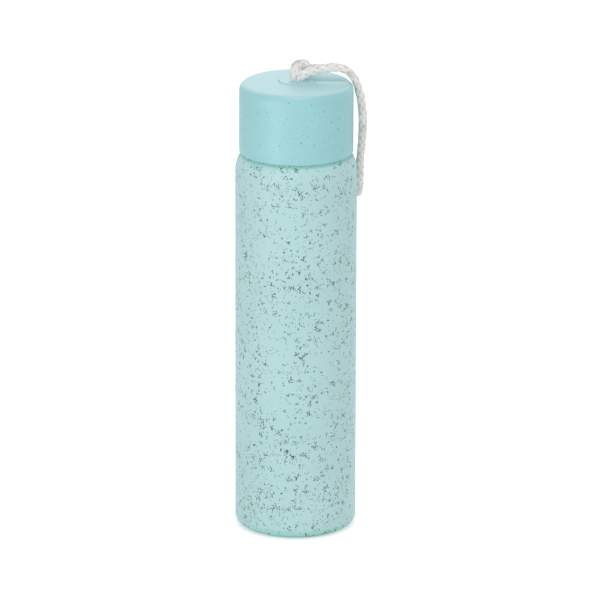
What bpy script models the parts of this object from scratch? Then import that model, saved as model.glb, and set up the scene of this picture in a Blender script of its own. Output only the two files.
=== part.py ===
"""Slim glass drinking bottle with a screw lid and a cotton carrying loop.

The glass body has a thread on its neck. The lid is an outer shell with a threaded inner cup inside it.
A soft ring lies between the cup and the mouth. A round insert in the top of the lid lets both ends of
the cord through, and a knot in the chamber under it holds them.

Lengths are in metres and +Z is up. The bottle stands on the plane z = 0 with its axis on the Z axis.
"""

import math

import bmesh
import bpy
from mathutils import Vector

# Glass body
body_radius = 0.0315
glass_wall = 0.0025
side_height = 0.1918
shoulder_radius = 0.0160
foot_fillet = 0.0042
foot_ring_inner_radius = 0.0200
push_up_height = 0.0030
base_thickness = 0.0045
inner_corner_radius = 0.0060
neck_wall = 0.0030
neck_fillet = 0.0015
neck_height = 0.0168
rim_rounding = 0.0010

# Screw thread, a single right-hand start with round beads
thread_pitch = 0.0045
thread_height = 0.0011
thread_clearance = 0.0005
thread_seat_gap = 0.00035
thread_start_height = 0.0024
neck_thread_turns = 1.25
cup_thread_turns = 1.10
thread_end_turns = 0.07

# Lid
part_gap = 0.0003
shoulder_gap = 0.0006
lid_step = 0.0020
shell_wall = 0.0020
shell_top_wall = 0.0022
shell_edge_radius = 0.0040
shell_foot_rounding = 0.0005
crown_curve_radius = 0.3400
snap_bead_height = 0.0007
snap_bead_depth = 0.0005
cup_wall = 0.0020
cup_ceiling = 0.0018
cup_chamfer = 0.0008
seal_thickness = 0.0020
seal_rounding = 0.0004

# Cord and the insert that it passes through
cord_diameter = 0.0040
squeeze_share = 0.78
squeeze_run = 0.0040
strand_gap = 0.0002
slot_clearance = 0.0003
slot_chamfer = 0.0008
knot_radius = 0.0062
knot_height = 0.0070
wrap_shoulder_angle = 80
wrap_waist_angle = -60
disc_radius = 0.0092
disc_thickness = 0.0015
disc_proud = 0.00035
disc_rounding = 0.0005
spigot_wall = 0.0016
snap_lip_depth = 0.0005
snap_lip_height = 0.0011
cut_overrun = 0.0010

# The loop's route: up out of the insert, over in a small arch, across the lid and down beside it behind the
# other strand, round a bend low on the bottle's side, up beside the lid and back over its edge.
cord_route = [
    (-0.00166, 0.00000, 0.23530),
    (-0.00166, 0.00000, 0.23920),
    (-0.00142, 0.00005, 0.24160),
    (-0.00090, 0.00055, 0.24395),
    (-0.00060, 0.00145, 0.24585),
    (0.00025, 0.00275, 0.24710),
    (0.00180, 0.00410, 0.24750),
    (0.00340, 0.00535, 0.24715),
    (0.00465, 0.00670, 0.24605),
    (0.00505, 0.00810, 0.24475),
    (0.00495, 0.00955, 0.24375),
    (0.00555, 0.01095, 0.24325),
    (0.00730, 0.01195, 0.24300),
    (0.01020, 0.01235, 0.24300),
    (0.01450, 0.01260, 0.24315),
    (0.01950, 0.01300, 0.24315),
    (0.02360, 0.01340, 0.24235),
    (0.02680, 0.01360, 0.24070),
    (0.02940, 0.01350, 0.23780),
    (0.03140, 0.01320, 0.23340),
    (0.03295, 0.01270, 0.22690),
    (0.03390, 0.01220, 0.21850),
    (0.03405, 0.01200, 0.21000),
    (0.03385, 0.01210, 0.20190),
    (0.03320, 0.01290, 0.19470),
    (0.03185, 0.01460, 0.18840),
    (0.03070, 0.01610, 0.18360),
    (0.03025, 0.01660, 0.18020),
    (0.03050, 0.01580, 0.17750),
    (0.03145, 0.01365, 0.17620),
    (0.03240, 0.01140, 0.17720),
    (0.03280, 0.01025, 0.17980),
    (0.03295, 0.00950, 0.18390),
    (0.03300, 0.00905, 0.18830),
    (0.03305, 0.00850, 0.19280),
    (0.03330, 0.00720, 0.19800),
    (0.03385, 0.00490, 0.20480),
    (0.03430, 0.00340, 0.21220),
    (0.03435, 0.00260, 0.21990),
    (0.03370, 0.00280, 0.22700),
    (0.03255, 0.00320, 0.23310),
    (0.03090, 0.00340, 0.23820),
    (0.02860, 0.00280, 0.24210),
    (0.02600, 0.00180, 0.24475),
    (0.02250, 0.00100, 0.24625),
    (0.01820, 0.00040, 0.24660),
    (0.01290, 0.00000, 0.24600),
    (0.00800, 0.00000, 0.24485),
    (0.00510, 0.00000, 0.24375),
    (0.00335, 0.00000, 0.24260),
    (0.00225, 0.00000, 0.24130),
    (0.00180, 0.00000, 0.24020),
    (0.00166, 0.00000, 0.23890),
    (0.00166, 0.00000, 0.23530),
]

# Fineness of the meshes. A flat piece of a round outline lies within arc_tolerance of the true arc.
round_steps = 56
small_round_steps = 40
knot_steps = 24
arc_tolerance = 0.00006
dome_steps = 4
thread_steps_per_turn = 40
thread_tip_share = 0.35
tube_resolution = 2
cord_points = 96
cord_curve_samples = 12
weld_distance = 0.00001
sharp_angle = 40

# Colours of the finishes
coat_colour = (0.46, 0.70, 0.71, 1.0)
lid_colour = (0.36, 0.68, 0.70, 1.0)
inner_plastic_colour = (0.55, 0.78, 0.79, 1.0)
silicone_colour = (0.82, 0.84, 0.84, 1.0)
cotton_colour = (0.80, 0.78, 0.74, 1.0)

# Sizes that follow from those above: radii
shoulder_centre_radius = body_radius - shoulder_radius
glass_inner_radius = body_radius - glass_wall
lid_radius = body_radius - lid_step
shell_inner_radius = lid_radius - shell_wall
cup_radius = shell_inner_radius - part_gap
cup_inner_radius = cup_radius - cup_wall
neck_radius = cup_inner_radius - thread_height - thread_clearance
mouth_radius = neck_radius - neck_wall
seal_radius = cup_inner_radius - part_gap
seal_inner_radius = mouth_radius + part_gap
strand_radius = squeeze_share * cord_diameter / 2
strand_offset = strand_radius + strand_gap / 2
slot_end_radius = strand_radius + slot_clearance
spigot_radius = strand_offset + slot_end_radius + spigot_wall
disc_seat_radius = disc_radius + part_gap
spigot_hole_radius = spigot_radius + part_gap
edge_centre_radius = lid_radius - shell_edge_radius
edge_slant = math.asin(edge_centre_radius / (crown_curve_radius - shell_edge_radius))
crown_radius = crown_curve_radius * math.sin(edge_slant)


def shoulder_height(radius):
    """Height of the outer shoulder at this distance from the axis."""
    across = radius - shoulder_centre_radius
    return side_height + math.sqrt(shoulder_radius**2 - across**2)


# Sizes that follow from those above: heights
fillet_centre_radius = neck_radius + neck_fillet
fillet_across = fillet_centre_radius - shoulder_centre_radius
fillet_reach = shoulder_radius + neck_fillet
fillet_centre_height = side_height + math.sqrt(fillet_reach**2 - fillet_across**2)
fillet_angle = math.atan2(fillet_centre_height - side_height, fillet_across)
mouth_height = fillet_centre_height + neck_height
lid_bottom = shoulder_height(shell_inner_radius) + shoulder_gap
cup_bottom = shoulder_height(cup_inner_radius) + shoulder_gap
neck_thread_start = fillet_centre_height + thread_start_height
bead_reach = 2 * thread_height + thread_seat_gap
thread_drop = math.sqrt(bead_reach**2 - (thread_height + thread_clearance) ** 2)
cup_thread_start = neck_thread_start - thread_drop
seal_bottom = mouth_height + part_gap
ceiling_bottom = seal_bottom + seal_thickness + part_gap
ceiling_top = ceiling_bottom + cup_ceiling
knot_bottom = ceiling_top + part_gap
knot_top = knot_bottom + knot_height
spigot_bottom = knot_top + part_gap
shell_underside = spigot_bottom + snap_lip_height + part_gap
cup_top = shell_underside - part_gap
edge_centre_height = shell_underside + shell_top_wall - shell_edge_radius
crown_drop = (crown_curve_radius - shell_edge_radius) * math.cos(edge_slant)
crown_centre_height = edge_centre_height - crown_drop


def crown_surface(radius):
    """Height of the lid's slightly domed top at this distance from the axis."""
    return crown_centre_height + math.sqrt(crown_curve_radius**2 - radius**2)


disc_top = crown_surface(disc_seat_radius) + disc_proud
disc_underside = disc_top - disc_thickness
disc_seat = disc_underside - part_gap


def material(name, colour, roughness):
    made = bpy.data.materials.new(name)
    made.use_nodes = True
    shader = made.node_tree.nodes["Principled BSDF"]
    shader.inputs["Base Color"].default_value = colour
    shader.inputs["Roughness"].default_value = roughness
    shader.inputs["Metallic"].default_value = 0
    made.diffuse_color = colour
    return made


def arc_pieces(radius, sweep):
    """Number of flat pieces for a round stretch of this radius and sweep in degrees."""
    return math.ceil(abs(sweep) / math.degrees(2 * math.acos(1 - arc_tolerance / radius)))


def arc(centre_radius, centre_height, radius, start, end, pieces=0):
    """Points on a round stretch of an outline, from one angle to the other, in degrees."""
    pieces = pieces or arc_pieces(radius, end - start)
    points = []
    for i in range(pieces + 1):
        angle = math.radians(start + (end - start) * i / pieces)
        across = centre_radius + radius * math.cos(angle)
        points.append((across, centre_height + radius * math.sin(angle)))
    return points


def dome(edge_radius, edge_height, rise):
    """Points of a shallow dome from its edge to the axis."""
    points = []
    for i in range(dome_steps + 1):
        radius = edge_radius * (1 - i / dome_steps)
        points.append((radius, edge_height + rise * (1 - (radius / edge_radius) ** 2)))
    return points


def mesh_of(helper):
    """A welded mesh of what a modifier or a curve makes, with the helper object removed."""
    graph = bpy.context.evaluated_depsgraph_get()
    mesh = bpy.data.meshes.new_from_object(helper.evaluated_get(graph))
    work = bmesh.new()
    work.from_mesh(mesh)
    bmesh.ops.remove_doubles(work, verts=work.verts, dist=weld_distance)
    work.to_mesh(mesh)
    work.free()
    bpy.data.objects.remove(helper)
    return mesh


def finish(name, mesh, finish_material):
    """Puts a mesh in the bottle's collection under its name, shaded smooth but for its sharp edges."""
    mesh.name = name
    mesh.shade_smooth()
    mesh.set_sharp_from_angle(angle=math.radians(sharp_angle))
    mesh.materials.clear()
    mesh.materials.append(finish_material)
    piece = bpy.data.objects.new(name, mesh)
    parts.objects.link(piece)
    piece.parent = stand
    return piece


def turned(outline, steps, closed):
    """Mesh of an outline at +X turned about the Z axis. Its outer side runs from top to bottom."""
    edges = [(i, i + 1) for i in range(len(outline) - 1)]
    if closed:
        edges.append((len(outline) - 1, 0))
    profile = bpy.data.meshes.new("profile")
    profile.from_pydata([(radius, 0, height) for radius, height in outline], edges, [])
    helper = bpy.data.objects.new("profile", profile)
    cutters.objects.link(helper)
    screw = helper.modifiers.new("Turn", "SCREW")
    screw.axis = "Z"
    screw.steps = steps
    screw.render_steps = steps
    screw.use_merge_vertices = True
    screw.merge_threshold = weld_distance
    return mesh_of(helper)


def slot_outline(end_radius):
    """Long hole for two strands side by side, seen from above: straight sides and round ends."""
    pieces = 2 * arc_pieces(slot_end_radius, 90)
    outline = arc(strand_offset, 0, end_radius, -90, 90, pieces)
    return outline + arc(-strand_offset, 0, end_radius, 90, 270, pieces)


def slot_cutter(low_radius, low, high_radius, high):
    """Mesh of a slot cutter from one height to another, which may widen on the way."""
    low_outline = slot_outline(low_radius)
    high_outline = slot_outline(high_radius)
    count = len(low_outline)
    points = [(x, y, low) for x, y in low_outline] + [(x, y, high) for x, y in high_outline]
    faces = [tuple(reversed(range(count))), tuple(range(count, 2 * count))]
    for i in range(count):
        after = (i + 1) % count
        faces.append((i, after, count + after, count + i))
    mesh = bpy.data.meshes.new("slot_cutter")
    mesh.from_pydata(points, [], faces)
    return mesh


def join_or_cut(piece, name, operation, tool_mesh):
    """Adds a Boolean with a helper object that is kept out of the render."""
    tool = bpy.data.objects.new(piece.name + "_" + name, tool_mesh)
    tool.hide_render = True
    tool.display_type = "WIRE"
    cutters.objects.link(tool)
    step = piece.modifiers.new(name, "BOOLEAN")
    step.operation = operation
    step.object = tool


def tube(name, points, radii, depth):
    """Mesh of a round tube through the points, with closed ends."""
    data = bpy.data.curves.new(name, "CURVE")
    data.dimensions = "3D"
    data.bevel_depth = depth
    data.bevel_resolution = tube_resolution
    data.use_fill_caps = True
    spline = data.splines.new("POLY")
    spline.points.add(len(points) - 1)
    for target, point, radius in zip(spline.points, points, radii):
        target.co = (*point, 1.0)
        target.radius = radius
    helper = bpy.data.objects.new(name, data)
    cutters.objects.link(helper)
    return mesh_of(helper)


def add_thread(piece, radius, start_height, turns):
    """Joins a right-hand thread bead to a wall. Its ends run out to a fine tip, as moulded threads do."""
    count = round(turns * thread_steps_per_turn)
    points = []
    radii = []
    for i in range(count + 1):
        turned_so_far = turns * i / count
        angle = 2 * math.pi * turned_so_far
        height = start_height + thread_pitch * turned_so_far
        points.append((radius * math.cos(angle), radius * math.sin(angle), height))
        from_end = min(turned_so_far, turns - turned_so_far)
        radii.append(min(1.0, thread_tip_share + (1 - thread_tip_share) * from_end / thread_end_turns))
    join_or_cut(piece, "thread", "UNION", tube("bead", points, radii, thread_height))


def smooth_route(route, count):
    """Evenly spaced points on one smooth curve through the route's own points."""
    known = [Vector(point) for point in route]
    known = [2 * known[0] - known[1], *known, 2 * known[-1] - known[-2]]
    fine = []
    for before, here, there, after in zip(known, known[1:], known[2:], known[3:]):
        for i in range(cord_curve_samples):
            t = i / cord_curve_samples
            along = (there - before) * t
            bend = (2 * before - 5 * here + 4 * there - after) * t**2
            twist = (3 * here - before - 3 * there + after) * t**3
            fine.append(here + (along + bend + twist) / 2)
    fine.append(known[-2])
    reached = [0.0]
    for one, other in zip(fine, fine[1:]):
        reached.append(reached[-1] + (other - one).length)
    points = []
    step = 0
    for i in range(count):
        wanted = reached[-1] * i / (count - 1)
        while step < len(fine) - 2 and reached[step + 1] < wanted:
            step += 1
        share = (wanted - reached[step]) / (reached[step + 1] - reached[step])
        points.append(fine[step].lerp(fine[step + 1], share))
    return points


def make_bottle_glass():
    """One piece of glass: dished base, straight side, round shoulder and a threaded neck."""
    inner_shoulder_radius = shoulder_radius - glass_wall
    inner_end = math.degrees(math.acos((mouth_radius - shoulder_centre_radius) / inner_shoulder_radius))
    fillet_end = math.degrees(fillet_angle)
    rim_bottom = mouth_height - rim_rounding
    floor_radius = glass_inner_radius - inner_corner_radius
    floor = dome(floor_radius, base_thickness, push_up_height)
    outline = floor[::-1][:-1]
    outline += arc(floor_radius, base_thickness + inner_corner_radius, inner_corner_radius, -90, 0)
    outline += arc(shoulder_centre_radius, side_height, inner_shoulder_radius, 0, inner_end)
    outline += arc(mouth_radius + rim_rounding, rim_bottom, rim_rounding, 180, 90)
    outline += arc(neck_radius - rim_rounding, rim_bottom, rim_rounding, 90, 0)
    outline += arc(fillet_centre_radius, fillet_centre_height, neck_fillet, 180, 180 + fillet_end)
    outline += arc(shoulder_centre_radius, side_height, shoulder_radius, fillet_end, 0)[1:]
    outline += arc(body_radius - foot_fillet, foot_fillet, foot_fillet, 0, -90)
    outline += dome(foot_ring_inner_radius, 0, push_up_height)
    piece = finish("bottle_glass", turned(outline, round_steps, False), coated_glass)
    add_thread(piece, neck_radius, neck_thread_start, neck_thread_turns)


def make_seal_ring():
    """Soft flat ring that lies on the mouth, caught loosely in the lid above its thread."""
    high = seal_bottom + seal_thickness - seal_rounding
    low = seal_bottom + seal_rounding
    outer = seal_radius - seal_rounding
    inner = seal_inner_radius + seal_rounding
    outline = arc(outer, high, seal_rounding, 90, 0)
    outline += arc(outer, low, seal_rounding, 0, -90)
    outline += arc(inner, low, seal_rounding, -90, -180)
    outline += arc(inner, high, seal_rounding, 180, 90)
    finish("seal_ring", turned(outline, round_steps, True), silicone)


def make_lid_inner_cup():
    """Threaded liner of the lid. Its web closes the bottle, and its wall reaches up to the shell's top."""
    outline = [
        (0, ceiling_top),
        (cup_inner_radius, ceiling_top),
        (cup_inner_radius, cup_top),
        (cup_radius - cup_chamfer, cup_top),
        (cup_radius, cup_top - cup_chamfer),
        (cup_radius, cup_bottom + snap_bead_depth),
        (cup_radius - snap_bead_depth, cup_bottom),
        (cup_inner_radius, cup_bottom),
        (cup_inner_radius, ceiling_bottom),
        (0, ceiling_bottom),
    ]
    piece = finish("lid_inner_cup", turned(outline, round_steps, False), inner_plastic)
    add_thread(piece, cup_inner_radius, cup_thread_start, cup_thread_turns)


def make_lid_shell():
    """Outer cap with a rounded top edge, a seat for the insert, and a bead inside that holds the cup."""
    bead_top = cup_bottom - part_gap
    bead_bottom = bead_top - snap_bead_height
    foot_centre = lid_radius - shell_foot_rounding
    edge_start = 90 - math.degrees(edge_slant)
    outline = [
        (spigot_hole_radius, shell_underside),
        (spigot_hole_radius, disc_seat),
        (disc_seat_radius, disc_seat),
    ]
    for i in range(dome_steps):
        radius = disc_seat_radius + (crown_radius - disc_seat_radius) * i / dome_steps
        outline.append((radius, crown_surface(radius)))
    outline += arc(edge_centre_radius, edge_centre_height, shell_edge_radius, edge_start, 0)
    outline += arc(foot_centre, lid_bottom + shell_foot_rounding, shell_foot_rounding, 0, -90)
    outline += [
        (shell_inner_radius, lid_bottom),
        (shell_inner_radius, bead_bottom - snap_bead_depth),
        (shell_inner_radius - snap_bead_depth, bead_bottom),
        (shell_inner_radius - snap_bead_depth, bead_top),
        (shell_inner_radius, bead_top),
        (shell_inner_radius, shell_underside),
    ]
    finish("lid_shell", turned(outline, round_steps, True), lid_plastic)


def make_cord_disc():
    """Round insert that swivels in the lid's top. Its spigot snaps in, and its slot takes the cord."""
    lip_top = spigot_bottom + snap_lip_height
    outline = [(0, disc_top)]
    outline += arc(disc_radius - disc_rounding, disc_top - disc_rounding, disc_rounding, 90, 0)
    outline += [
        (disc_radius, disc_underside),
        (spigot_radius, disc_underside),
        (spigot_radius, lip_top),
        (spigot_radius + snap_lip_depth + part_gap, lip_top),
        (spigot_radius, spigot_bottom),
        (0, spigot_bottom),
    ]
    piece = finish("cord_disc", turned(outline, small_round_steps, False), lid_plastic)
    through = slot_cutter(
        slot_end_radius, spigot_bottom - cut_overrun, slot_end_radius, disc_top + cut_overrun
    )
    flare = slot_chamfer + cut_overrun
    chamfer = slot_cutter(
        slot_end_radius - cut_overrun, disc_top - flare, slot_end_radius + flare, disc_top + cut_overrun
    )
    join_or_cut(piece, "slot", "DIFFERENCE", through)
    join_or_cut(piece, "slot_edge", "DIFFERENCE", chamfer)


def make_cord_knot():
    """The tied end of the cord: two wraps pulled tight, flat where the strands leave them."""
    wrap_radius = knot_height / 4
    neck = knot_radius - wrap_radius
    flat = strand_offset + strand_radius + strand_gap
    outline = [(0, knot_top), (flat, knot_top)]
    outline += arc(neck, knot_top - wrap_radius, wrap_radius, wrap_shoulder_angle, wrap_waist_angle)
    outline += arc(neck, knot_bottom + wrap_radius, wrap_radius, -wrap_waist_angle, -90)
    outline += [(0, knot_bottom)]
    finish("cord_knot", turned(outline, knot_steps, False), cotton)


def make_cord_loop():
    """The cotton loop from the knot and back to it, squeezed where its ends share the insert's slot."""
    points = smooth_route(cord_route, cord_points)
    squeezed_height = disc_top + disc_rounding
    radii = []
    for point in points:
        above = (point.z - squeezed_height) / squeeze_run
        in_slot = math.hypot(point.x, point.y) < disc_radius
        eased = min(1.0, max(0.0, above)) if in_slot else 1.0
        radii.append(squeeze_share + (1 - squeeze_share) * eased)
    finish("cord_loop", tube("cord_loop", points, radii, cord_diameter / 2), cotton)


for old in list(bpy.data.objects):
    bpy.data.objects.remove(old)

parts = bpy.data.collections.new("glass_bottle")
cutters = bpy.data.collections.new("cutters")
bpy.context.scene.collection.children.link(parts)
bpy.context.scene.collection.children.link(cutters)
stand = bpy.data.objects.new("bottle_stand_point", None)
parts.objects.link(stand)

coated_glass = material("coated_glass", coat_colour, 0.55)
lid_plastic = material("lid_plastic", lid_colour, 0.45)
inner_plastic = material("inner_plastic", inner_plastic_colour, 0.40)
silicone = material("silicone", silicone_colour, 0.60)
cotton = material("cotton", cotton_colour, 0.90)

make_bottle_glass()
make_seal_ring()
make_lid_inner_cup()
make_lid_shell()
make_cord_disc()
make_cord_knot()
make_cord_loop()

cutters.hide_render = True
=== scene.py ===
import math

import bmesh
import bpy
import numpy as np
from mathutils import Matrix, Vector


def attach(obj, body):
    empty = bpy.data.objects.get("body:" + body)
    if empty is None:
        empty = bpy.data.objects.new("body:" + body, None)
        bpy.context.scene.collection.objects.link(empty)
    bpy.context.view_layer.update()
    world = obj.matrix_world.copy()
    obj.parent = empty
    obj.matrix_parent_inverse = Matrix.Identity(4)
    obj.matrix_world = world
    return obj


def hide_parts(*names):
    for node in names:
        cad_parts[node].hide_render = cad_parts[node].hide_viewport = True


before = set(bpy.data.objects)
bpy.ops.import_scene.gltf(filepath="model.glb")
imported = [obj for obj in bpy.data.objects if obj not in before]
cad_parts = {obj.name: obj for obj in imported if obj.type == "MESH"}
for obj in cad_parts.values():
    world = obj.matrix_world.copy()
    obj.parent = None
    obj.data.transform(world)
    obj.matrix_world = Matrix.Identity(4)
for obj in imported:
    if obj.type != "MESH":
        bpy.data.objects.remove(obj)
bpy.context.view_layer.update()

# Glass body. One blown piece of clear glass with a dished base, a round shoulder and a threaded neck.
# It is turned from one outline, inside and out, and its outer side is sprayed with an opaque speckled coat
# that stops at the foot of the neck.
body_radius = 0.0315
glass_wall = 0.0025
side_height = 0.19215
shoulder_radius = 0.0157
foot_fillet = 0.0050
foot_ring_inner_radius = 0.0200
push_up_height = 0.0030
base_thickness = 0.0045
inner_corner_radius = 0.0060
neck_radius = 0.0236
mouth_radius = 0.0206
neck_fillet = 0.0015
neck_height = 0.01661
rim_rounding = 0.0010
thread_height = 0.0011
thread_pitch = 0.0045
thread_start_height = 0.0022
thread_tip_share = 0.35
thread_end_turns = 0.07
neck_thread_turns = 1.25
coat_end_drop = 0.0006
underside_margin = 0.0005
turning_steps = 192
merge_distance = 0.000002
match_distance = 0.000005
shoulder_centre_radius = body_radius - shoulder_radius
fillet_centre_radius = neck_radius + neck_fillet
fillet_across = fillet_centre_radius - shoulder_centre_radius
fillet_centre_height = side_height + math.sqrt((shoulder_radius + neck_fillet) ** 2 - fillet_across**2)
fillet_angle = math.degrees(math.atan2(fillet_centre_height - side_height, fillet_across))
mouth_height = fillet_centre_height + neck_height
neck_bead_start = fillet_centre_height + thread_start_height


def arc(across, height, radius, start, end, pieces):
    """Points of a round stretch of an outline, from one angle to the other in degrees."""
    angles = [math.radians(start + (end - start) * i / pieces) for i in range(pieces + 1)]
    return [(across + radius * math.cos(a), height + radius * math.sin(a)) for a in angles]


def dome(radius, height, rise, pieces):
    """Points of a shallow dome from its edge to the axis."""
    steps = [1 - i / pieces for i in range(pieces + 1)]
    return [(radius * s, height + rise * (1 - s * s)) for s in steps]


def new_piece(name, add, **settings):
    """Adds a primitive as a piece of this name, with its place in its mesh, and opens it for editing."""
    if bpy.context.object and bpy.context.object.mode == "EDIT":
        bpy.ops.object.mode_set(mode="OBJECT")
    bpy.ops.object.select_all(action="DESELECT")
    add(**settings)
    piece = bpy.context.object
    piece.name = name
    piece.data.name = name
    bpy.ops.object.transform_apply(location=True, rotation=True, scale=True)
    bpy.ops.object.mode_set(mode="EDIT")
    bpy.ops.mesh.select_all(action="SELECT")
    return piece


def close_piece(piece, sharp=32):
    """Merges doubles, turns the faces outwards and shades the piece smooth but for its sharp edges."""
    bpy.ops.mesh.select_all(action="SELECT")
    bpy.ops.mesh.remove_doubles(threshold=merge_distance)
    bpy.ops.mesh.normals_make_consistent(inside=False)
    bpy.ops.object.mode_set(mode="OBJECT")
    bpy.ops.object.shade_smooth_by_angle(angle=math.radians(sharp))


def turn(name, outline, ring=False):
    """Turns an outline of (radius, height) points round the bottle's axis. A ring's outline is closed."""
    radius, height = outline[0]
    piece = new_piece(name, bpy.ops.mesh.primitive_plane_add, size=0.001, location=(radius, 0, height))
    bpy.ops.mesh.merge(type="CENTER")
    for (radius, height), (new_radius, new_height) in zip(outline, outline[1:]):
        step = (new_radius - radius, 0, new_height - height)
        bpy.ops.mesh.extrude_vertices_move(TRANSFORM_OT_translate={"value": step})
    if ring:
        ends = [Vector((r, 0, h)) for r, h in (outline[0], outline[-1])]
        bpy.ops.mesh.select_all(action="DESELECT")
        work = bmesh.from_edit_mesh(piece.data)
        for vert in work.verts:
            vert.select = min((vert.co - end).length for end in ends) < match_distance
        bmesh.update_edit_mesh(piece.data)
        bpy.ops.mesh.edge_face_add()
    bpy.ops.mesh.select_all(action="SELECT")
    bpy.ops.mesh.spin(steps=turning_steps, angle=2 * math.pi, center=(0, 0, 0), axis=(0, 0, 1))
    close_piece(piece)
    return piece


def thread_bead(name, radius, start_height, turns, steps_per_turn=72):
    """Round bead on a right-hand helix, extruded round the axis, whose ends run out to a fine tip."""
    piece = new_piece(
        name,
        bpy.ops.mesh.primitive_circle_add,
        vertices=20,
        radius=thread_height * thread_tip_share,
        fill_type="NGON",
        location=(radius, 0, start_height),
        rotation=(math.pi / 2, 0, 0),
    )
    count = round(turns * steps_per_turn)
    before = thread_tip_share
    for i in range(1, count + 1):
        so_far = turns * i / count
        angle = 2 * math.pi * so_far
        lift = {"value": (0, 0, thread_pitch * turns / count)}
        bpy.ops.mesh.extrude_region_move(TRANSFORM_OT_translate=lift)
        bpy.ops.transform.rotate(
            value=-2 * math.pi * turns / count, orient_axis="Z", center_override=(0, 0, 0)
        )
        from_end = min(so_far, turns - so_far)
        share = min(1.0, thread_tip_share + (1 - thread_tip_share) * from_end / thread_end_turns)
        height = start_height + thread_pitch * so_far
        middle = (radius * math.cos(angle), radius * math.sin(angle), height)
        bpy.ops.transform.resize(value=(share / before,) * 3, center_override=middle)
        before = share
    close_piece(piece)
    return piece


def boolean(piece, tool, operation):
    """Joins a tool to a piece or cuts it out, and removes the tool."""
    bpy.ops.object.select_all(action="DESELECT")
    bpy.context.view_layer.objects.active = piece
    piece.select_set(True)
    step = piece.modifiers.new("join", "BOOLEAN")
    step.operation = operation
    step.solver = "EXACT"
    step.object = tool
    bpy.ops.object.modifier_apply(modifier=step.name)
    bpy.data.objects.remove(tool)
    bpy.ops.object.mode_set(mode="EDIT")
    close_piece(piece)


def wrap_map(piece, radius, heights):
    """Lays the surface out in metres: round the axis and along the outline, flat where it faces up."""
    flat_slope = 0.93
    flat_apart = 0.3
    mesh = piece.data
    layer = mesh.uv_layers.get("wrap") or mesh.uv_layers.new(name="wrap")
    layer.active = True
    low, high, centre_radius = heights
    for face in mesh.polygons:
        middle = math.atan2(face.center.y, face.center.x)
        flat = abs(face.normal.z) > flat_slope
        for loop in face.loop_indices:
            x, y, z = mesh.vertices[mesh.loops[loop].vertex_index].co
            if flat:
                layer.data[loop].uv = (x + flat_apart, y)
                continue
            angle = math.atan2(y, x)
            angle += 2 * math.pi * round((middle - angle) / (2 * math.pi))
            above = math.atan2(max(0.0, z - high), math.hypot(x, y) - centre_radius)
            along = min(max(z, low), high) + above * (radius - centre_radius)
            layer.data[loop].uv = (angle * radius, along)


floor_radius = body_radius - glass_wall - inner_corner_radius
inner_shoulder = shoulder_radius - glass_wall
inner_end = math.degrees(math.acos((mouth_radius - shoulder_centre_radius) / inner_shoulder))
rim_bottom = mouth_height - rim_rounding
glass_outline = dome(floor_radius, base_thickness, push_up_height, 8)[::-1][:-1]
corner_height = base_thickness + inner_corner_radius
glass_outline += arc(floor_radius, corner_height, inner_corner_radius, -90, 0, 10)
glass_outline += arc(shoulder_centre_radius, side_height, inner_shoulder, 0, inner_end, 18)
glass_outline += arc(mouth_radius + rim_rounding, rim_bottom, rim_rounding, 180, 90, 6)
glass_outline += arc(neck_radius - rim_rounding, rim_bottom, rim_rounding, 90, 0, 6)
glass_outline += arc(fillet_centre_radius, fillet_centre_height, neck_fillet, 180, 180 + fillet_angle, 8)
glass_outline += arc(shoulder_centre_radius, side_height, shoulder_radius, fillet_angle, 0, 32)[1:]
for i in range(1, 24):
    glass_outline.append((body_radius, side_height + (foot_fillet - side_height) * i / 24))
glass_outline += arc(body_radius - foot_fillet, foot_fillet, foot_fillet, 0, -90, 14)
glass_outline += dome(foot_ring_inner_radius, 0, push_up_height, 10)
bottle = turn("bottle", glass_outline)
boolean(bottle, thread_bead("neck_thread", neck_radius, neck_bead_start, neck_thread_turns), "UNION")
wrap_map(bottle, body_radius, (0.0, side_height, shoulder_centre_radius))


def new_material(name):
    """A new material, with its node tree and its principled shader."""
    made = bpy.data.materials.new(name)
    made.use_nodes = True
    return made, made.node_tree, made.node_tree.nodes["Principled BSDF"]


def feed(tree, socket, value):
    """Links a socket to a socket, or sets a plain value on it."""
    if isinstance(value, bpy.types.NodeSocket):
        tree.links.new(value, socket)
    else:
        socket.default_value = value


def math_of(tree, operation, *values):
    """A Math node's result."""
    node = tree.nodes.new("ShaderNodeMath")
    node.operation = operation
    for socket, value in zip(node.inputs, values):
        feed(tree, socket, value)
    return node.outputs[0]


def vector_of(tree, operation, *values, scale=None):
    """A Vector Math node's result, which is a number for a distance."""
    node = tree.nodes.new("ShaderNodeVectorMath")
    node.operation = operation
    for socket, value in zip(node.inputs, values):
        feed(tree, socket, value)
    if scale is not None:
        feed(tree, node.inputs["Scale"], scale)
    return node.outputs["Value" if operation == "DISTANCE" else "Vector"]


def ramp(tree, value, low, high, low_result=0.0, high_result=1.0):
    """Smooth step of a value from one result to another."""
    node = tree.nodes.new("ShaderNodeMapRange")
    node.interpolation_type = "SMOOTHSTEP"
    for socket, given in zip(node.inputs, (value, low, high, low_result, high_result)):
        feed(tree, socket, given)
    return node.outputs["Result"]


def mix(tree, share, first, second):
    """Colour between two colours."""
    node = tree.nodes.new("ShaderNodeMix")
    node.data_type = "RGBA"
    feed(tree, node.inputs["Factor"], share)
    for name, value in (("A", first), ("B", second)):
        socket = [s for s in node.inputs if s.name == name and s.type == "RGBA"][0]
        feed(tree, socket, value)
    return [s for s in node.outputs if s.type == "RGBA"][0]


def noise(tree, place, scale, detail=2.0):
    """Noise of this scale, in cycles per metre, at a place on the piece."""
    node = tree.nodes.new("ShaderNodeTexNoise")
    feed(tree, node.inputs["Vector"], place)
    node.inputs["Scale"].default_value = scale
    node.inputs["Detail"].default_value = detail
    return node.outputs["Fac"]


def object_place(tree):
    """Place in the piece's own coordinates."""
    return tree.nodes.new("ShaderNodeTexCoord").outputs["Object"]


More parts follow.
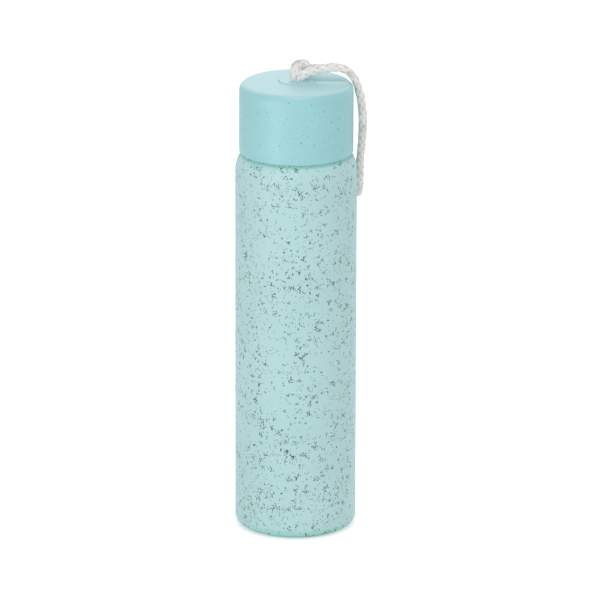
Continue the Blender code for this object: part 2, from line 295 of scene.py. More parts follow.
def wrap_place(tree, warp):
    """Place on the wrapped map in millimetres, a little warped so that no rows show."""
    layer = tree.nodes.new("ShaderNodeUVMap")
    layer.uv_map = "wrap"
    node = tree.nodes.new("ShaderNodeTexNoise")
    tree.links.new(object_place(tree), node.inputs["Vector"])
    node.inputs["Scale"].default_value = 60
    node.inputs["Detail"].default_value = 1.0
    wander = vector_of(tree, "SUBTRACT", node.outputs["Color"], (0.5, 0.5, 0.5))
    wander = vector_of(tree, "SCALE", wander, scale=warp)
    return vector_of(tree, "ADD", vector_of(tree, "SCALE", layer.outputs["UV"], scale=1000.0), wander)


def specks(tree, place, columns, turn_length, seed, presence, spots, sway, turned, softness=0.05):
    """Cover of a layer of small sprigs of spots, one in some cells of a grid that closes round the piece."""
    cell = turn_length / columns
    parts = tree.nodes.new("ShaderNodeSeparateXYZ")
    tree.links.new(vector_of(tree, "SCALE", place, scale=1 / cell), parts.inputs[0])
    across, along = parts.outputs[0], parts.outputs[1]
    row = math_of(tree, "FLOOR", along)
    shift = tree.nodes.new("ShaderNodeTexWhiteNoise")
    shift.noise_dimensions = "1D"
    feed(tree, shift.inputs["W"], math_of(tree, "ADD", row, seed * 7.3))
    across = math_of(tree, "ADD", across, shift.outputs["Value"])
    column = math_of(tree, "FLOORED_MODULO", math_of(tree, "FLOOR", across), float(columns))
    pair = tree.nodes.new("ShaderNodeCombineXYZ")
    feed(tree, pair.inputs[0], column)
    feed(tree, pair.inputs[1], row)
    pair.inputs[2].default_value = seed
    chance = tree.nodes.new("ShaderNodeTexWhiteNoise")
    chance.noise_dimensions = "3D"
    tree.links.new(pair.outputs[0], chance.inputs["Vector"])
    draw = tree.nodes.new("ShaderNodeSeparateXYZ")
    tree.links.new(chance.outputs["Color"], draw.inputs[0])
    local = tree.nodes.new("ShaderNodeCombineXYZ")
    for i, value in enumerate((across, along)):
        offset = math_of(tree, "MULTIPLY_ADD", draw.outputs[i], 2 * sway, 0.5 * cell - sway)
        inside = math_of(tree, "MULTIPLY", math_of(tree, "FRACT", value), cell)
        feed(tree, local.inputs[i], math_of(tree, "SUBTRACT", inside, offset))
    spun = tree.nodes.new("ShaderNodeVectorRotate")
    spun.rotation_type = "Z_AXIS"
    tree.links.new(local.outputs[0], spun.inputs["Vector"])
    angle = math_of(tree, "MULTIPLY_ADD", draw.outputs[2], 2 * turned, -turned)
    feed(tree, spun.inputs["Angle"], angle)
    stretch = tree.nodes.new("ShaderNodeTexWhiteNoise")
    stretch.noise_dimensions = "3D"
    tree.links.new(vector_of(tree, "ADD", pair.outputs[0], (0.0, 0.0, 0.37)), stretch.inputs["Vector"])
    scaled = vector_of(tree, "MULTIPLY_ADD", stretch.outputs["Color"], (0.75, 0.75, 0.0), (0.65, 0.65, 1.0))
    shaped = vector_of(tree, "MULTIPLY", spun.outputs[0], scaled)
    nearest = None
    for x, y, size in spots:
        edge = math_of(tree, "SUBTRACT", vector_of(tree, "DISTANCE", shaped, (x, y, 0.0)), size)
        nearest = edge if nearest is None else math_of(tree, "MINIMUM", nearest, edge)
    cover = ramp(tree, nearest, softness, -softness)
    present = math_of(tree, "LESS_THAN", chance.outputs["Value"], presence)
    depth = math_of(tree, "MULTIPLY_ADD", draw.outputs[1], 0.25, 0.75)
    return math_of(tree, "MULTIPLY", cover, math_of(tree, "MULTIPLY", present, depth))


def bumps(tree, shader, height, distance, strength=1.0):
    """Relief of a height pattern, given in metres."""
    node = tree.nodes.new("ShaderNodeBump")
    node.inputs["Strength"].default_value = strength
    node.inputs["Distance"].default_value = distance
    feed(tree, node.inputs["Height"], height)
    tree.links.new(node.outputs[0], shader.inputs["Normal"])


def speck_layers(tree, place, patches, turn_length, sway, layers):
    """Cover of several layers of specks together, each more frequent in some patches than in others."""
    cover = None
    for columns, seed, share, spots, turned in layers:
        presence = math_of(tree, "MULTIPLY", patches, share)
        layer = specks(tree, place, columns, turn_length, seed, presence, spots, sway, turned)
        cover = layer if cover is None else math_of(tree, "MAXIMUM", cover, layer)
    return cover


coat, tree, shader = new_material("speckled_coat")
girth = 2 * math.pi * body_radius * 1000
place = wrap_place(tree, 3.0)
patches = ramp(tree, noise(tree, object_place(tree), 80, 1.0), 0.38, 0.58, 0.45, 1.0)
sprig = [(-0.55, 0.60, 0.28), (0.0, 0.0, 0.37), (0.62, 0.66, 0.28), (-0.12, -0.70, 0.30)]
fork = [(-0.58, 0.48, 0.31), (0.02, 0.02, 0.35), (0.55, 0.50, 0.32), (1.20, 0.90, 0.24)]
fork += [(0.75, -0.65, 0.27)]
cluster = [(0.0, 1.10, 0.31), (0.40, 0.30, 0.37), (-0.10, -0.58, 0.34), (-1.05, 0.25, 0.25)]
cluster += [(1.15, -0.55, 0.27)]
stroke = [(-0.28, -0.05, 0.30), (0.22, 0.10, 0.33)]
pair = [(-0.42, -0.28, 0.26), (0.42, 0.32, 0.25)]
trio = [(-0.75, 0.15, 0.24), (0.0, -0.45, 0.24), (0.70, 0.45, 0.23)]
dot = [(0, 0, 0.26)]
# Columns of cells round the piece, seed, share of the cells with a speck, its spots, and its turn.
strong_layers = (
    (44, 3.0, 0.20, sprig, 0.6),
    (41, 11.0, 0.16, fork, 1.0),
    (39, 17.0, 0.14, cluster, 0.8),
    (57, 19.0, 0.30, pair, 3.1),
    (51, 23.0, 0.36, stroke, 3.1),
)
faint_layers = ((62, 25.0, 0.40, pair, 3.1), (53, 29.0, 0.28, trio, 3.1), (83, 31.0, 0.42, dot, 3.1))
strong = speck_layers(tree, place, patches, girth, 0.9, strong_layers)
faint = speck_layers(tree, place, patches, girth, 0.7, faint_layers)
tone = ramp(tree, noise(tree, object_place(tree), 22, 2.0), 0.3, 0.7)
ground = mix(tree, tone, (0.462, 0.700, 0.712, 1.0), (0.490, 0.725, 0.735, 1.0))
level = tree.nodes.new("ShaderNodeSeparateXYZ")
tree.links.new(object_place(tree), level.inputs[0])
# Painted shade: the coat turns darker and greener from just below the lid's edge up to where it ends under
# the lid, where the lid shades the shoulder.
ground = mix(tree, ramp(tree, level.outputs[2], 0.2002, 0.2014), ground, (0.325, 0.685, 0.622, 1.0))
# Painted shade: the coat turns darker and greener over the last few millimetres above the floor, where the
# floor shades the foot.
ground = mix(tree, ramp(tree, level.outputs[2], 0.0065, 0.0010), ground, (0.345, 0.665, 0.630, 1.0))
ground = mix(tree, math_of(tree, "MULTIPLY", faint, 0.90), ground, (0.095, 0.192, 0.095, 1.0))
ground = mix(tree, math_of(tree, "MULTIPLY", strong, 1.0), ground, (0.045, 0.088, 0.008, 1.0))
tree.links.new(ground, shader.inputs["Base Color"])
shader.inputs["Roughness"].default_value = 0.50
shader.inputs["Specular IOR Level"].default_value = 0.45
peel = noise(tree, object_place(tree), 700, 2.0)
relief = math_of(tree, "ADD", math_of(tree, "MULTIPLY", peel, 0.5), math_of(tree, "MULTIPLY", strong, 0.5))
bumps(tree, shader, relief, 0.00004, 0.6)

glass, tree, shader = new_material("clear_glass")
shader.inputs["Base Color"].default_value = (0.93, 0.98, 0.97, 1.0)
shader.inputs["Roughness"].default_value = 0.04
shader.inputs["IOR"].default_value = 1.52
shader.inputs["Transmission Weight"].default_value = 1.0
bumps(tree, shader, noise(tree, object_place(tree), 120, 1.0), 0.00006, 0.5)

bottle.data.materials.append(coat)
bottle.data.materials.append(glass)
for face in bottle.data.polygons:
    x, y, z = face.center
    outwards = face.normal.x * x + face.normal.y * y
    underneath = z < base_thickness - underside_margin and face.normal.z < 0
    coated = (outwards > 0 or underneath) and z < fillet_centre_height - coat_end_drop
    face.material_index = 0 if coated else 1
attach(bottle, "bottle")
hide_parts("bottle_glass")

# Seal ring. A flat ring of soft silicone, moulded with rounded edges, that lies loose between the mouth
# and the lid's web.
part_gap = 0.0003
seal_radius = 0.0249
seal_inner_radius = 0.0209
seal_thickness = 0.0020
seal_rounding = 0.0004
seal_bottom = mouth_height + part_gap
outer_centre = seal_radius - seal_rounding
inner_centre = seal_inner_radius + seal_rounding
upper_centre = seal_bottom + seal_thickness - seal_rounding
lower_centre = seal_bottom + seal_rounding
seal_outline = arc(outer_centre, upper_centre, seal_rounding, 90, 0, 6)
seal_outline += arc(outer_centre, lower_centre, seal_rounding, 0, -90, 6)
seal_outline += arc(inner_centre, lower_centre, seal_rounding, -90, -180, 6)
seal_outline += arc(inner_centre, upper_centre, seal_rounding, 180, 90, 6)
seal = turn("seal", seal_outline, ring=True)
silicone, tree, shader = new_material("milky_silicone")
cloud = ramp(tree, noise(tree, object_place(tree), 150, 3.0), 0.3, 0.7)
colour = mix(tree, cloud, (0.78, 0.81, 0.81, 1.0), (0.84, 0.86, 0.85, 1.0))
tree.links.new(colour, shader.inputs["Base Color"])
shader.inputs["Roughness"].default_value = 0.55
shader.inputs["Subsurface Weight"].default_value = 0.2
shader.inputs["Subsurface Radius"].default_value = (0.001, 0.001, 0.001)
bumps(tree, shader, noise(tree, object_place(tree), 1500, 2.0), 0.00002, 0.5)
seal.data.materials.append(silicone)
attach(seal, "seal")
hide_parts("seal_ring")

# Inner cup. The lid's threaded liner, moulded in plain plastic, with a web across it that closes the bottle.
# It is pressed up into the shell and snaps over a bead there.
lid_radius = 0.0295
shell_inner_radius = 0.0275
cup_radius = 0.0272
cup_inner_radius = 0.0252
cup_ceiling = 0.0018
cup_chamfer = 0.0008
cup_floor_chamfer = 0.0006
cup_rim_chamfer = 0.0002
cup_foot_chamfer = 0.0005
cup_mouth_chamfer = 0.0003
cup_web_chamfer = 0.0001
cup_thread_turns = 1.10
thread_seat_gap = 0.00035
thread_clearance = 0.0005
knot_height = 0.0070
snap_lip_height = 0.0011
shoulder_gap = 0.00036


def shoulder_height(radius):
    """Height of the outer shoulder at this distance from the axis."""
    return side_height + math.sqrt(shoulder_radius**2 - (radius - shoulder_centre_radius) ** 2)


lid_bottom = shoulder_height(shell_inner_radius) + shoulder_gap
cup_bottom = shoulder_height(cup_inner_radius) + shoulder_gap
ceiling_bottom = seal_bottom + seal_thickness + part_gap
ceiling_top = ceiling_bottom + cup_ceiling
knot_bottom = ceiling_top + part_gap
knot_top = knot_bottom + knot_height
spigot_bottom = knot_top + part_gap
shell_underside = spigot_bottom + snap_lip_height + part_gap
cup_top = shell_underside - part_gap
cup_outline = [
    (0, ceiling_top),
    (cup_inner_radius - cup_floor_chamfer, ceiling_top),
    (cup_inner_radius, ceiling_top + cup_floor_chamfer),
    (cup_inner_radius, cup_top - cup_rim_chamfer),
    (cup_inner_radius + cup_rim_chamfer, cup_top),
    (cup_radius - cup_chamfer, cup_top),
    (cup_radius, cup_top - cup_chamfer),
    (cup_radius, cup_bottom + cup_foot_chamfer),
    (cup_radius - cup_foot_chamfer, cup_bottom),
    (cup_inner_radius + cup_mouth_chamfer, cup_bottom),
    (cup_inner_radius, cup_bottom + cup_mouth_chamfer),
    (cup_inner_radius, ceiling_bottom - cup_web_chamfer),
    (cup_inner_radius - cup_web_chamfer, ceiling_bottom),
    (0, ceiling_bottom),
]
cup = turn("inner_cup", cup_outline)
beads_apart = 2 * thread_height + thread_seat_gap
beads_across = thread_height + thread_clearance
bead_drop = math.sqrt(beads_apart**2 - beads_across**2)
cup_bead = thread_bead("cup_thread", cup_inner_radius, neck_bead_start - bead_drop, cup_thread_turns)
boolean(cup, cup_bead, "UNION")
liner, tree, shader = new_material("liner_plastic")
tone = ramp(tree, noise(tree, object_place(tree), 60, 2.0), 0.3, 0.7)
colour = mix(tree, tone, (0.52, 0.76, 0.77, 1.0), (0.56, 0.79, 0.80, 1.0))
tree.links.new(colour, shader.inputs["Base Color"])
shader.inputs["Roughness"].default_value = 0.38
bumps(tree, shader, noise(tree, object_place(tree), 1800, 2.0), 0.00002, 0.5)
cup.data.materials.append(liner)
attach(cup, "lid")
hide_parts("lid_inner_cup")

# Lid shell. The outer cap, moulded in satin plastic with a few fine flecks in it. Its top is slightly domed
# and runs into a round edge, and a seat in the middle takes the insert.
disc_seat_radius = 0.00930
spigot_hole_radius = 0.00542
shell_edge_radius = 0.0040
shell_top_wall = 0.0022
shell_foot_rounding = 0.0003
shell_rim_drop = 0.00045
crown_curve_radius = 0.3400
snap_bead_height = 0.0007
snap_bead_depth = 0.0005
disc_proud = 0.00035
disc_thickness = 0.0015
edge_centre_radius = lid_radius - shell_edge_radius
edge_slant = math.asin(edge_centre_radius / (crown_curve_radius - shell_edge_radius))
crown_radius = crown_curve_radius * math.sin(edge_slant)
edge_centre_height = shell_underside + shell_top_wall - shell_edge_radius
crown_centre_height = edge_centre_height - (crown_curve_radius - shell_edge_radius) * math.cos(edge_slant)


def crown_surface(radius):
    """Height of the lid's slightly domed top at this distance from the axis."""
    return crown_centre_height + math.sqrt(crown_curve_radius**2 - radius**2)


disc_top = crown_surface(disc_seat_radius) + disc_proud
disc_underside = disc_top - disc_thickness
disc_seat = disc_underside - part_gap
bead_top = cup_bottom - part_gap
bead_bottom = bead_top - snap_bead_height
seat_edge = 0.00015
shell_outline = [
    (spigot_hole_radius, shell_underside),
    (spigot_hole_radius, disc_seat),
    (disc_seat_radius, disc_seat),
]
shell_outline += arc(
    disc_seat_radius + seat_edge, crown_surface(disc_seat_radius) - seat_edge, seat_edge, 180, 90, 4
)
for i in range(1, 16):
    radius = disc_seat_radius + seat_edge + (crown_radius - disc_seat_radius - seat_edge) * i / 16
    shell_outline.append((radius, crown_surface(radius)))
edge_start = 90 - math.degrees(edge_slant)
shell_outline += arc(edge_centre_radius, edge_centre_height, shell_edge_radius, edge_start, 0, 20)
rim_bottom_height = lid_bottom - shell_rim_drop
for i in range(1, 8):
    drop = (edge_centre_height - rim_bottom_height - shell_foot_rounding) * i / 8
    shell_outline.append((lid_radius, edge_centre_height - drop))
foot_centre = (lid_radius - shell_foot_rounding, rim_bottom_height + shell_foot_rounding)
shell_outline += arc(*foot_centre, shell_foot_rounding, 0, -100, 6)
shell_outline += [
    (shell_inner_radius, lid_bottom),
    (shell_inner_radius, bead_bottom - snap_bead_depth),
    (shell_inner_radius - snap_bead_depth, bead_bottom),
    (shell_inner_radius - snap_bead_depth, bead_top),
    (shell_inner_radius, bead_top),
    (shell_inner_radius, shell_underside),
]
shell = turn("lid_cap", shell_outline, ring=True)
wrap_map(shell, lid_radius, (0.0, edge_centre_height, edge_centre_radius))


def flecked_plastic(name, turn_length):
    """Satin plastic of the lid, with fine darker flecks that lie mostly in its side, and a paler top that is
    painted sheen.
    """
    made, tree, shader = new_material(name)
    place = wrap_place(tree, 4.0)
    height = tree.nodes.new("ShaderNodeSeparateXYZ")
    tree.links.new(object_place(tree), height.inputs[0])
    level = height.outputs[2]
    side = ramp(tree, level, edge_centre_height + 0.002, edge_centre_height - 0.002, 0.25, 1.0)
    often = math_of(tree, "MULTIPLY", side, 0.50)
    flecks = specks(tree, place, 31, turn_length, 41.0, often, [(0, 0, 0.36)], 1.8, 3.1, 0.10)
    often = math_of(tree, "MULTIPLY", side, 0.70)
    finer = specks(tree, place, 43, turn_length, 47.0, often, [(0, 0, 0.30)], 1.2, 3.1, 0.10)
    tone = ramp(tree, noise(tree, object_place(tree), 45, 3.0), 0.3, 0.7)
    ground = mix(tree, tone, (0.300, 0.625, 0.652, 1.0), (0.318, 0.645, 0.672, 1.0))
    # Painted sheen: above the round edge the top takes a paler colour, standing in for the light its satin
    # surface catches.
    painted_sheen_top = ramp(tree, level, edge_centre_height + 0.0026, edge_centre_height + 0.0038)
    ground = mix(tree, painted_sheen_top, ground, (0.405, 0.690, 0.722, 1.0))
    ground = mix(tree, math_of(tree, "MULTIPLY", finer, 0.55), ground, (0.180, 0.390, 0.400, 1.0))
    ground = mix(tree, math_of(tree, "MULTIPLY", flecks, 0.75), ground, (0.120, 0.280, 0.280, 1.0))
    tree.links.new(ground, shader.inputs["Base Color"])
    shader.inputs["Roughness"].default_value = 0.47
    shader.inputs["IOR"].default_value = 1.75
    bumps(tree, shader, noise(tree, object_place(tree), 1400, 2.0), 0.00002, 0.5)
    return made


lid_plastic = flecked_plastic("satin_flecked_plastic", 2 * math.pi * lid_radius * 1000)
shell.data.materials.append(lid_plastic)
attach(shell, "lid")
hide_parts("lid_shell")

# Insert. A small round plug of the lid's plastic that snaps into the seat and swivels there. Both strands of
# the cord pass side by side through its rounded slot.
disc_radius = 0.00915
disc_rounding = 0.0005
strand_offset = 0.00166
slot_end_radius = 0.00186
slot_rounding = 0.0008
spigot_radius = 0.00512
snap_lip_reach = 0.0008
cut_overrun = 0.001
level_match = 0.00001
lip_top = spigot_bottom + snap_lip_height
disc_outline = [(0, disc_top)]
disc_outline += arc(disc_radius - disc_rounding, disc_top - disc_rounding, disc_rounding, 90, 0, 8)
disc_outline += [
    (disc_radius, disc_underside),
    (spigot_radius, disc_underside),
    (spigot_radius, lip_top),
    (spigot_radius + snap_lip_reach, lip_top),
    (spigot_radius, spigot_bottom),
    (0, spigot_bottom),
]
insert = turn("insert", disc_outline)
slot_steps = 48
slot_tool = new_piece(
    "slot_tool",
    bpy.ops.mesh.primitive_circle_add,
    vertices=slot_steps,
    radius=slot_end_radius,
    fill_type="NGON",
    location=(0, 0, spigot_bottom - cut_overrun),
    rotation=(0, 0, math.pi / slot_steps),
)


def pick(side, height):
    """Selects the slot tool's points on one side of the middle at one height."""
    work = bmesh.from_edit_mesh(slot_tool.data)
    for vert in work.verts:
        vert.select = vert.co.x * side > 0 and abs(vert.co.z - height) < level_match
    work.select_flush(True)
    bmesh.update_edit_mesh(slot_tool.data)


for side in (-1, 1):
    pick(side, spigot_bottom - cut_overrun)
    bpy.ops.transform.translate(value=(side * strand_offset, 0, 0))
level = spigot_bottom - cut_overrun
end_radius = slot_end_radius
slot_levels = []
for i in range(9):
    angle = math.pi / 2 * i / 8
    height = disc_top - slot_rounding * (1 - math.sin(angle))
    slot_levels.append((height, slot_end_radius + slot_rounding * (1 - math.cos(angle))))
slot_levels.append((disc_top + cut_overrun, slot_end_radius + slot_rounding))
for height, radius in slot_levels:
    work = bmesh.from_edit_mesh(slot_tool.data)
    for face in work.faces:
        away = abs(face.calc_center_median().z - level)
        face.select = abs(face.normal.z) > 0.9 and away < level_match
    bmesh.update_edit_mesh(slot_tool.data)
    bpy.ops.mesh.extrude_region_move(TRANSFORM_OT_translate={"value": (0, 0, height - level)})
    for side in (-1, 1):
        pick(side, height)
        growth = radius / end_radius
        middle = (side * strand_offset, 0, height)
        bpy.ops.transform.resize(value=(growth, growth, 1), center_override=middle)
    level = height
    end_radius = radius
close_piece(slot_tool)
boolean(insert, slot_tool, "DIFFERENCE")
wrap_map(insert, disc_radius, (0.0, disc_top, 0.0))
insert.data.materials.append(lid_plastic)
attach(insert, "cord")
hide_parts("cord_disc")

# Carrying loop. A 4 mm cotton cord, braided of eight strands, whose ends pass through the insert. It stands
# up in a small arch, lies across the lid and hangs down beside the bottle. The centreline is the solids'.
cord_route = [
    (-0.00166, 0.00000, 0.23530), (-0.00166, 0.00000, 0.23920), (-0.00142, 0.00005, 0.24160),
    (-0.00090, 0.00055, 0.24395), (-0.00060, 0.00145, 0.24585), (0.00025, 0.00275, 0.24710),
    (0.00180, 0.00410, 0.24750), (0.00340, 0.00535, 0.24715), (0.00465, 0.00670, 0.24605),
    (0.00505, 0.00810, 0.24475), (0.00495, 0.00955, 0.24375), (0.00555, 0.01095, 0.24325),
    (0.00730, 0.01195, 0.24300), (0.01020, 0.01235, 0.24300), (0.01450, 0.01260, 0.24315),
    (0.01950, 0.01300, 0.24315), (0.02360, 0.01340, 0.24235), (0.02680, 0.01360, 0.24070),
    (0.02940, 0.01350, 0.23780), (0.03140, 0.01320, 0.23340), (0.03295, 0.01270, 0.22690),
    (0.03390, 0.01220, 0.21850), (0.03405, 0.01200, 0.21000), (0.03385, 0.01210, 0.20190),
    (0.03320, 0.01290, 0.19470), (0.03185, 0.01460, 0.18840), (0.03070, 0.01610, 0.18360),
    (0.03025, 0.01660, 0.18020), (0.03050, 0.01580, 0.17750), (0.03145, 0.01365, 0.17620),
    (0.03240, 0.01140, 0.17720), (0.03280, 0.01025, 0.17980), (0.03295, 0.00950, 0.18390),
    (0.03300, 0.00905, 0.18830), (0.03305, 0.00850, 0.19280), (0.03330, 0.00720, 0.19800),
    (0.03385, 0.00490, 0.20480), (0.03430, 0.00340, 0.21220), (0.03435, 0.00260, 0.21990),
    (0.03370, 0.00280, 0.22700), (0.03255, 0.00320, 0.23310), (0.03090, 0.00340, 0.23820),
    (0.02860, 0.00280, 0.24210), (0.02600, 0.00180, 0.24475), (0.02250, 0.00100, 0.24625),
    (0.01820, 0.00040, 0.24660), (0.01290, 0.00000, 0.24600), (0.00800, 0.00000, 0.24485),
    (0.00510, 0.00000, 0.24375), (0.00335, 0.00000, 0.24260), (0.00225, 0.00000, 0.24130),
    (0.00180, 0.00000, 0.24020), (0.00166, 0.00000, 0.23890), (0.00166, 0.00000, 0.23530),
]


def smooth_line(known, spacing):
    """Evenly spaced points on one smooth curve through the given points."""
    known = np.array(known, float)
    known = np.vstack([2 * known[0] - known[1], known, 2 * known[-1] - known[-2]])
    t = np.linspace(0, 1, 24, endpoint=False)[:, None]
    stretches = []
    for before, here, there, after in zip(known, known[1:], known[2:], known[3:]):
        along = (there - before) * t
        bend = (2 * before - 5 * here + 4 * there - after) * t**2
        twist = (3 * here - before - 3 * there + after) * t**3
        stretches.append(here + (along + bend + twist) / 2)
    fine = np.vstack([*stretches, known[-2]])
    reached = np.concatenate([[0], np.cumsum(np.linalg.norm(np.diff(fine, axis=0), axis=1))])
    count = round(reached[-1] / spacing) + 1
    wanted = np.linspace(0, reached[-1], count)
    return np.stack([np.interp(wanted, reached, fine[:, i]) for i in range(3)], axis=1), wanted


def braid(name, line, reached, outer_radius, pitch=0.0180, depth=0.24, sides=64):
    """Mesh of a cord braided of four strands each way, whose relief and yarns are kept as attributes; the
    crest attribute, low in the hollows, masks the cotton's painted shade.
    """
    tangents = np.gradient(line, axis=0)
    tangents /= np.linalg.norm(tangents, axis=1)[:, None]
    side = np.cross(tangents[0], (0.0, 1.0, 0.0))
    side /= np.linalg.norm(side)
    sides_of_line = []
    for tangent in tangents:
        side = side - tangent * (side @ tangent)
        side /= np.linalg.norm(side)
        sides_of_line.append(side)
    first = np.array(sides_of_line)
    second = np.cross(tangents, first)
    turns = np.arange(sides) / sides
    lefts = (turns[None, :] - reached[:, None] / pitch) * 4
    rights = (turns[None, :] + reached[:, None] / pitch) * 4

    def strand(own, other, sign):
        """Height of one way's strands over the core, and the place across each."""
        index = np.floor(own)
        within = 2 * (own - index) - 1
        round_top = np.sqrt(np.clip(1 - within**2, 0, 1))
        over = (1 + sign * np.sin(np.pi * other) * (-1.0) ** index) / 2
        return round_top * (0.30 + 0.70 * over), within

    left_height, left_within = strand(lefts, rights, 1.0)
    right_height, right_within = strand(rights, lefts, -1.0)
    relief = np.maximum(left_height, right_height)
    # Crest masks the cotton's painted shade: it is low between the yarns, and the next steps lower it a
    # little along the middle of each yarn.
    crest = relief * (0.45 + 0.55 * np.clip(np.abs(left_height - right_height) / 0.30, 0, 1))
    on_left = left_height >= right_height
    along = np.where(on_left, rights, lefts)
    within = np.where(on_left, left_within, right_within)
    crest = crest * (1 - 0.22 * np.exp(-((within / 0.18) ** 2)))
    radius = outer_radius[:, None] * (1 - depth * (1 - relief))
    angle = 2 * np.pi * turns[None, :, None]
    ring = np.cos(angle) * first[:, None, :] + np.sin(angle) * second[:, None, :]
    points = line[:, None, :] + ring * radius[:, :, None]
    count = len(line)
    verts = np.vstack([points.reshape(-1, 3), line[0], line[-1]])
    here = np.arange(count - 1)[:, None] * sides
    across = np.arange(sides)[None, :]
    after = (across + 1) % sides
    quads = np.stack([here + across, here + after, here + sides + after, here + sides + across], axis=-1)
    faces = quads.reshape(-1, 4).tolist()
    last = (count - 1) * sides
    for i in range(sides):
        faces.append((i, count * sides, (i + 1) % sides))
        faces.append((last + i, last + (i + 1) % sides, count * sides + 1))
    mesh = bpy.data.meshes.new(name)
    mesh.from_pydata(verts.tolist(), [], faces)
    piece = bpy.data.objects.new(name, mesh)
    bpy.context.scene.collection.objects.link(piece)
    for label, values in (("crest", crest), ("yarn_across", within), ("yarn_along", along)):
        attribute = mesh.attributes.new(label, "FLOAT", "POINT")
        attribute.data.foreach_set("value", np.append(values.ravel(), [0.0, 0.0]).astype(np.float32))
    bpy.ops.object.select_all(action="DESELECT")
    bpy.context.view_layer.objects.active = piece
    piece.select_set(True)
    bpy.ops.object.mode_set(mode="EDIT")
    close_piece(piece, 80)
    return piece


cord_line, cord_reached = smooth_line(cord_route, 0.0002)
# Radius of the braid at places along the cord: thin in the slot, wide where it bends.
girth_places = (
    0.0042, 0.0080, 0.0160, 0.0192, 0.0235, 0.0275, 0.0330, 0.0900, 0.1150,
    0.1400, 0.1650, 0.1800, 0.1900, 0.1960, 0.2051, 0.2121, 0.2153, 0.2184,
)
girths = (
    0.00168, 0.00258, 0.00262, 0.00284, 0.00284, 0.00228, 0.00195, 0.00195, 0.00220,
    0.00215, 0.00230, 0.00210, 0.00215, 0.00245, 0.00250, 0.00265, 0.00240, 0.00168,
)
swell = np.interp(cord_reached, girth_places, girths)
swell = swell * (1 + 0.025 * np.sin(cord_reached / 0.0015) + 0.020 * np.sin(cord_reached / 0.00092 + 1))
loop = braid("carrying_loop", cord_line, cord_reached, swell)

cotton, tree, shader = new_material("braided_cotton")


def stored(tree, label):
    """A value that is kept on the mesh."""
    node = tree.nodes.new("ShaderNodeAttribute")
    node.attribute_name = label
    return node.outputs["Fac"]


crest = stored(tree, "crest")
slant = math_of(tree, "MULTIPLY", stored(tree, "yarn_along"), 1.7)
slant = math_of(tree, "MULTIPLY_ADD", stored(tree, "yarn_across"), 2.2, slant)
wave = math_of(tree, "SINE", math_of(tree, "MULTIPLY", slant, 2 * math.pi))
yarn = math_of(tree, "MULTIPLY_ADD", wave, 0.5, 0.5)
fuzz = noise(tree, object_place(tree), 3500, 2.0)
stain = ramp(tree, noise(tree, object_place(tree), 260, 2.0), 0.42, 0.68)
painted_shade_depth = ramp(tree, noise(tree, object_place(tree), 420, 2.0), 0.35, 0.65, 0.25, 0.80)
pale = mix(tree, stain, (0.925, 0.905, 0.905, 1.0), (0.880, 0.855, 0.825, 1.0))
yellowed = ramp(tree, noise(tree, object_place(tree), 170, 2.0), 0.50, 0.74, 0.0, 0.65)
pale = mix(tree, yellowed, pale, (0.640, 0.590, 0.480, 1.0))
# Painted shade: the braid's hollows between the yarns, and a faint line along the middle of each yarn, are
# darkened with brown, deeper in some patches than in others.
painted_shade_in_hollows = math_of(tree, "MULTIPLY", ramp(tree, crest, 0.62, 0.14), painted_shade_depth)
colour = mix(tree, painted_shade_in_hollows, pale, (0.400, 0.335, 0.235, 1.0))
tree.links.new(colour, shader.inputs["Base Color"])
shader.inputs["Roughness"].default_value = 0.90
shader.inputs["Sheen Weight"].default_value = 0.15
shader.inputs["Specular IOR Level"].default_value = 0.25
relief = math_of(tree, "ADD", math_of(tree, "MULTIPLY", yarn, 0.7), math_of(tree, "MULTIPLY", fuzz, 0.3))
bumps(tree, shader, relief, 0.00012, 0.6)
loop.data.materials.append(cotton)
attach(loop, "cord")
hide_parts("cord_loop")

# Knot. The tied end of the same cotton cord, pulled tight in the chamber under the insert: about one and a
# half wraps round the strands that come down from the slot.
wrap_radius = 0.00445
wrap_girth = 0.00172
wrap_turns = 1.45
core_girth = 0.0029
core_foot = 0.0004
knot_spacing = 0.0003
turns = np.linspace(0, wrap_turns, 40)
knot_points = []
for turned_by in turns:
    angle = 2 * math.pi * turned_by
    height = knot_bottom + wrap_girth + (knot_height - 2 * wrap_girth) * turned_by / turns[-1]
    knot_points.append((wrap_radius * math.cos(angle), wrap_radius * math.sin(angle), height))
knot_line, knot_reached = smooth_line(knot_points, knot_spacing)
wrap_girths = np.full(len(knot_line), wrap_girth)
wraps = braid("knot_wraps", knot_line, knot_reached, wrap_girths, sides=40)
core_points = []
for i in range(12):
    core_points.append((0.0, 0.0, knot_bottom + core_foot + (knot_height - core_foot) * i / 11))
core_line, core_reached = smooth_line(core_points, knot_spacing)
core = braid("knot_core", core_line, core_reached, np.full(len(core_line), core_girth), sides=40)
for piece in (wraps, core):
    piece.data.materials.append(cotton)
    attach(piece, "cord")
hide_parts("cord_knot")

# Stage. A plain white floor and plain soft light from all round, with soft lamps above, at the left in front
# and behind. The camera stands at the photograph's angle, far off, with a long lens.
aim_height = 0.12


def seen_white(tree):
    """One where the camera, a glossy surface or a clear one looks at the surroundings, else nought."""
    paths = tree.nodes.new("ShaderNodeLightPath")
    seen = math_of(tree, "MAXIMUM", paths.outputs["Is Camera Ray"], paths.outputs["Is Glossy Ray"])
    return math_of(tree, "MAXIMUM", seen, paths.outputs["Is Transmission Ray"])


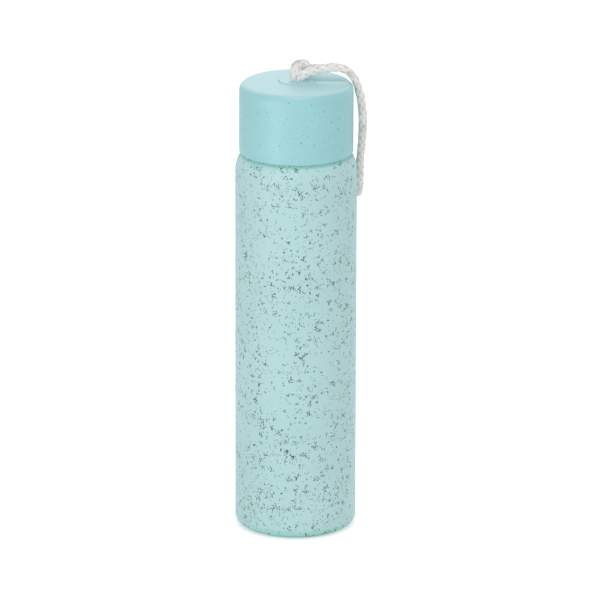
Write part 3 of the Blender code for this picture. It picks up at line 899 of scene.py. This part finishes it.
bpy.ops.object.select_all(action="DESELECT")
bpy.ops.mesh.primitive_circle_add(vertices=96, radius=6.0, fill_type="NGON", location=(0, 0, 0))
floor = bpy.context.object
floor.name = "floor"
white, tree, shader = new_material("white_floor")
tree.nodes.remove(shader)
seen = seen_white(tree)
paper = tree.nodes.new("ShaderNodeBsdfDiffuse")
paper.inputs["Color"].default_value = (0.86, 0.86, 0.86, 1.0)
glow = tree.nodes.new("ShaderNodeEmission")
feed(tree, glow.inputs["Strength"], math_of(tree, "MULTIPLY", seen, 0.43))
both = tree.nodes.new("ShaderNodeAddShader")
tree.links.new(paper.outputs[0], both.inputs[0])
tree.links.new(glow.outputs[0], both.inputs[1])
tree.links.new(both.outputs[0], tree.nodes["Material Output"].inputs["Surface"])
floor.data.materials.append(white)

world = bpy.data.worlds.new("white_room")
bpy.context.scene.world = world
world.use_nodes = True
tree = world.node_tree
sky = tree.nodes["Background"]
sky.inputs["Color"].default_value = (1.0, 1.0, 1.0, 1.0)
towards = tree.nodes.new("ShaderNodeSeparateXYZ")
tree.links.new(tree.nodes.new("ShaderNodeTexCoord").outputs["Generated"], towards.inputs[0])
sideways = math_of(tree, "ABSOLUTE", towards.outputs[0])
room = ramp(tree, sideways, 0.35, 0.90, 1.69, 1.22)
room = math_of(tree, "MULTIPLY", room, ramp(tree, towards.outputs[0], -0.95, -0.35, 0.46, 1.0))
room = math_of(tree, "MULTIPLY", room, ramp(tree, towards.outputs[2], 0.15, 0.75, 1.0, 0.16))
white_share = math_of(tree, "SUBTRACT", 1.0, room)
feed(tree, sky.inputs["Strength"], math_of(tree, "MULTIPLY_ADD", seen_white(tree), white_share, room))


def soft_light(name, place, width, height, strength):
    """A soft light at a place, turned to the middle of the bottle. A strength of one is a white sheet."""
    data = bpy.data.lights.new(name, "AREA")
    data.shape = "RECTANGLE"
    data.size = width
    data.size_y = height
    data.energy = strength * math.pi * width * height
    light = bpy.data.objects.new(name, data)
    light.location = place
    light.rotation_euler = (Vector(place) - Vector((0, 0, aim_height))).to_track_quat("Z", "Y").to_euler()
    bpy.context.scene.collection.objects.link(light)


soft_light("overhead", (0.0, -0.40, 2.55), 0.45, 0.45, 22.0)
soft_light("side_panel", (-0.80, -0.90, 0.16), 0.35, 0.30, 8.0)
soft_light("back", (0.0, 2.0, 1.50), 3.2, 1.8, 1.0)

lens_data = bpy.data.cameras.new("view")
lens_data.sensor_width = 36.0
lens_data.lens = 345.96
lens_data.shift_x = 0.00695
lens_data.shift_y = -0.00160
lens_data.clip_start = 0.1
lens_data.clip_end = 50.0
camera = bpy.data.objects.new("view", lens_data)
camera.location = (0.0, -2.861, 1.024)
tilt = Matrix.Rotation(math.radians(72.5), 3, "X") @ Matrix.Rotation(math.radians(0.142), 3, "Z")
camera.rotation_euler = tilt.to_euler()
bpy.context.scene.collection.objects.link(camera)
bpy.context.scene.camera = camera
bpy.context.scene.view_settings.view_transform = "Standard"
